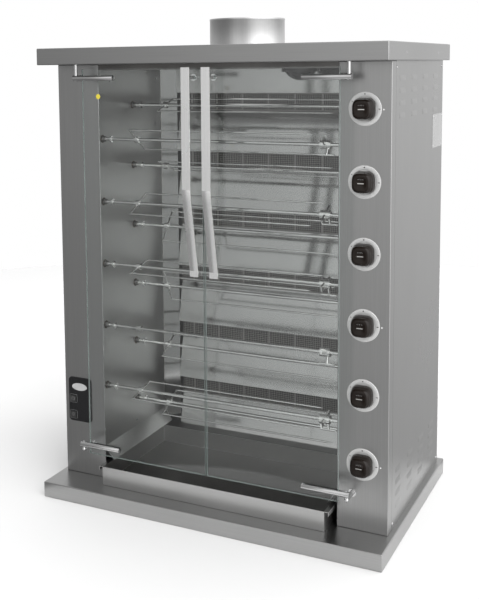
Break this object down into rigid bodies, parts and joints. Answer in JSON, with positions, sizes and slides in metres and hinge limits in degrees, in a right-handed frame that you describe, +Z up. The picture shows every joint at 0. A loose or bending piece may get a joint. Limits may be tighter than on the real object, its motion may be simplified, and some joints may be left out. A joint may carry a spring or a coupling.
{
  "type": "rotisserie oven",
  "caption": "Upright gas rotisserie oven with twin glass doors, zigzag turning spits, burner knobs on the right column, drip tray and flue collar.",
  "frame": {"origin": "centre of the base's footprint, on the floor", "axes": "+Z up, +X to the right seen from the front, front doors face -Y"},
  "size_m": [0.865, 0.582, 1.187],
  "materials": {
    "brushed_stainless": "fine brushed stainless steel",
    "polished_stainless": "polished stainless steel, slightly heat dulled",
    "satin_steel": "bright satin steel",
    "heated_steel": "heat-darkened steel",
    "burner_mesh": "dark woven mesh over ceramic tiles",
    "brass": "satin",
    "bezel_silver": "satin with printed dial marks",
    "black_panel": "gloss black",
    "button_black": "matte black",
    "knob_black": "gloss brown-black",
    "motor_paint": "grey paint",
    "chain_steel": "oiled steel",
    "bronze_bush": "sintered bronze",
    "bright_steel": "bright turned steel",
    "handle_steel": "bright satin stainless strip",
    "tray_steel": "bright stainless, polished inside",
    "spit_steel": "bright stainless rod",
    "lamp_glass": "dark lamp housing",
    "door_glass": "clear toughened glass"
  },
  "bodies": {
    "cabinet": {"base_plate": "brushed_stainless", "top_cap": "brushed_stainless", "flue_collar": "satin_steel", "left_column": "brushed_stainless", "right_column": "brushed_stainless", "left_side_panel": "brushed_stainless", "right_side_panel": "brushed_stainless", "rear_cover": "brushed_stainless", "left_inner_wall": "polished_stainless", "right_inner_wall": "polished_stainless", "cavity_ceiling": "polished_stainless", "oven_lamp": "lamp_glass", "back_reflector": "polished_stainless", "burner_housings": "heated_steel", "burner_meshes": "burner_mesh", "gas_manifold": "brass", "knob_bezels": "bezel_silver", "control_panel": "black_panel", "gearmotor": "motor_paint", "drive_chain": "chain_steel", "spit_bushes": "bronze_bush", "hinge_pins": "bright_steel"},
    "left_door": {"left_door_glass": "door_glass", "left_door_clamps": "bright_steel", "left_door_handle": "handle_steel"},
    "right_door": {"right_door_glass": "door_glass", "right_door_clamps": "bright_steel", "right_door_handle": "handle_steel"},
    "tray": {"drip_tray": "tray_steel"},
    "motor_switch": {"motor_button": "button_black"},
    "lamp_switch": {"lamp_button": "button_black"},
    "motor_shaft": {"motor_sprocket": "chain_steel"},
    "knob_1": {"burner_knob_1": "knob_black"},
    "knob_2": {"burner_knob_2": "knob_black"},
    "knob_3": {"burner_knob_3": "knob_black"},
    "knob_4": {"burner_knob_4": "knob_black"},
    "knob_5": {"burner_knob_5": "knob_black"},
    "knob_6": {"burner_knob_6": "knob_black"},
    "turning_spit_1": {"spit_1": "spit_steel", "spit_sprocket_1": "chain_steel"},
    "turning_spit_2": {"spit_2": "spit_steel", "spit_sprocket_2": "chain_steel"},
    "turning_spit_3": {"spit_3": "spit_steel", "spit_sprocket_3": "chain_steel"},
    "turning_spit_4": {"spit_4": "spit_steel", "spit_sprocket_4": "chain_steel"},
    "turning_spit_5": {"spit_5": "spit_steel", "spit_sprocket_5": "chain_steel"},
    "turning_spit_6": {"spit_6": "spit_steel", "spit_sprocket_6": "chain_steel"},
    "turning_spit_7": {"spit_7": "spit_steel", "spit_sprocket_7": "chain_steel"},
    "turning_spit_8": {"spit_8": "spit_steel", "spit_sprocket_8": "chain_steel"},
    "turning_spit_9": {"spit_9": "spit_steel", "spit_sprocket_9": "chain_steel"},
    "turning_spit_10": {"spit_10": "spit_steel", "spit_sprocket_10": "chain_steel"},
    "turning_spit_11": {"spit_11": "spit_steel", "spit_sprocket_11": "chain_steel"}
  },
  "joints": [
    {"name": "left_door_hinge", "type": "hinge", "parent": "cabinet", "child": "left_door", "pos_m": [-0.3395, -0.2455, 0.594], "axis": [0, 0, -1], "range_deg": [0, 170]},
    {"name": "right_door_hinge", "type": "hinge", "parent": "cabinet", "child": "right_door", "pos_m": [0.3395, -0.2455, 0.594], "axis": [0, 0, 1], "range_deg": [0, 170]},
    {"name": "tray_slide", "type": "slide", "parent": "cabinet", "child": "tray", "axis": [0, -1, 0], "range_m": [0, 0.3]},
    {"name": "motor_button_press", "type": "slide", "parent": "cabinet", "child": "motor_switch", "axis": [0, 1, 0], "range_m": [0, 0.002], "stiffness_N_per_m": 600},
    {"name": "lamp_button_press", "type": "slide", "parent": "cabinet", "child": "lamp_switch", "axis": [0, 1, 0], "range_m": [0, 0.002], "stiffness_N_per_m": 600},
    {"name": "knob_1_turn", "type": "hinge", "parent": "cabinet", "child": "knob_1", "pos_m": [0.36175, -0.202, 0.9783], "axis": [0, -1, 0], "range_deg": [0, 180]},
    {"name": "knob_2_turn", "type": "hinge", "parent": "cabinet", "child": "knob_2", "pos_m": [0.36175, -0.202, 0.8212], "axis": [0, -1, 0], "range_deg": [0, 180]},
    {"name": "knob_3_turn", "type": "hinge", "parent": "cabinet", "child": "knob_3", "pos_m": [0.36175, -0.202, 0.6641], "axis": [0, -1, 0], "range_deg": [0, 180]},
    {"name": "knob_4_turn", "type": "hinge", "parent": "cabinet", "child": "knob_4", "pos_m": [0.36175, -0.202, 0.507], "axis": [0, -1, 0], "range_deg": [0, 180]},
    {"name": "knob_5_turn", "type": "hinge", "parent": "cabinet", "child": "knob_5", "pos_m": [0.36175, -0.202, 0.3499], "axis": [0, -1, 0], "range_deg": [0, 180]},
    {"name": "knob_6_turn", "type": "hinge", "parent": "cabinet", "child": "knob_6", "pos_m": [0.36175, -0.202, 0.1928], "axis": [0, -1, 0], "range_deg": [0, 180]},
    {"name": "spit_1_turn", "type": "hinge", "parent": "cabinet", "child": "turning_spit_1", "pos_m": [0, -0.036, 0.976], "axis": [1, 0, 0], "continuous": true},
    {"name": "spit_2_turn", "type": "hinge", "parent": "cabinet", "child": "turning_spit_2", "pos_m": [0, -0.186, 0.8983], "axis": [1, 0, 0], "continuous": true},
    {"name": "spit_3_turn", "type": "hinge", "parent": "cabinet", "child": "turning_spit_3", "pos_m": [0, -0.036, 0.8206], "axis": [1, 0, 0], "continuous": true},
    {"name": "spit_4_turn", "type": "hinge", "parent": "cabinet", "child": "turning_spit_4", "pos_m": [0, -0.186, 0.7429], "axis": [1, 0, 0], "continuous": true},
    {"name": "spit_5_turn", "type": "hinge", "parent": "cabinet", "child": "turning_spit_5", "pos_m": [0, -0.036, 0.6652], "axis": [1, 0, 0], "continuous": true},
    {"name": "spit_6_turn", "type": "hinge", "parent": "cabinet", "child": "turning_spit_6", "pos_m": [0, -0.186, 0.5875], "axis": [1, 0, 0], "continuous": true},
    {"name": "spit_7_turn", "type": "hinge", "parent": "cabinet", "child": "turning_spit_7", "pos_m": [0, -0.036, 0.5098], "axis": [1, 0, 0], "continuous": true},
    {"name": "spit_8_turn", "type": "hinge", "parent": "cabinet", "child": "turning_spit_8", "pos_m": [0, -0.186, 0.4321], "axis": [1, 0, 0], "continuous": true},
    {"name": "spit_9_turn", "type": "hinge", "parent": "cabinet", "child": "turning_spit_9", "pos_m": [0, -0.036, 0.3544], "axis": [1, 0, 0], "continuous": true},
    {"name": "spit_10_turn", "type": "hinge", "parent": "cabinet", "child": "turning_spit_10", "pos_m": [0, -0.186, 0.2767], "axis": [1, 0, 0], "continuous": true},
    {"name": "spit_11_turn", "type": "hinge", "parent": "cabinet", "child": "turning_spit_11", "pos_m": [0, -0.036, 0.199], "axis": [1, 0, 0], "continuous": true},
    {"name": "motor_shaft_turn", "type": "hinge", "parent": "cabinet", "child": "motor_shaft", "pos_m": [-0.3515, 0.0605, 0.11], "axis": [1, 0, 0], "continuous": true}
  ],
  "couplings": [
    {"joint": "spit_2_turn", "follows": "spit_1_turn", "ratio": 1},
    {"joint": "spit_3_turn", "follows": "spit_1_turn", "ratio": -1},
    {"joint": "spit_4_turn", "follows": "spit_1_turn", "ratio": 1},
    {"joint": "spit_5_turn", "follows": "spit_1_turn", "ratio": -1},
    {"joint": "spit_6_turn", "follows": "spit_1_turn", "ratio": 1},
    {"joint": "spit_7_turn", "follows": "spit_1_turn", "ratio": -1},
    {"joint": "spit_8_turn", "follows": "spit_1_turn", "ratio": 1},
    {"joint": "spit_9_turn", "follows": "spit_1_turn", "ratio": -1},
    {"joint": "spit_10_turn", "follows": "spit_1_turn", "ratio": 1},
    {"joint": "spit_11_turn", "follows": "spit_1_turn", "ratio": -1},
    {"joint": "motor_shaft_turn", "follows": "spit_1_turn", "ratio": 1}
  ]
}
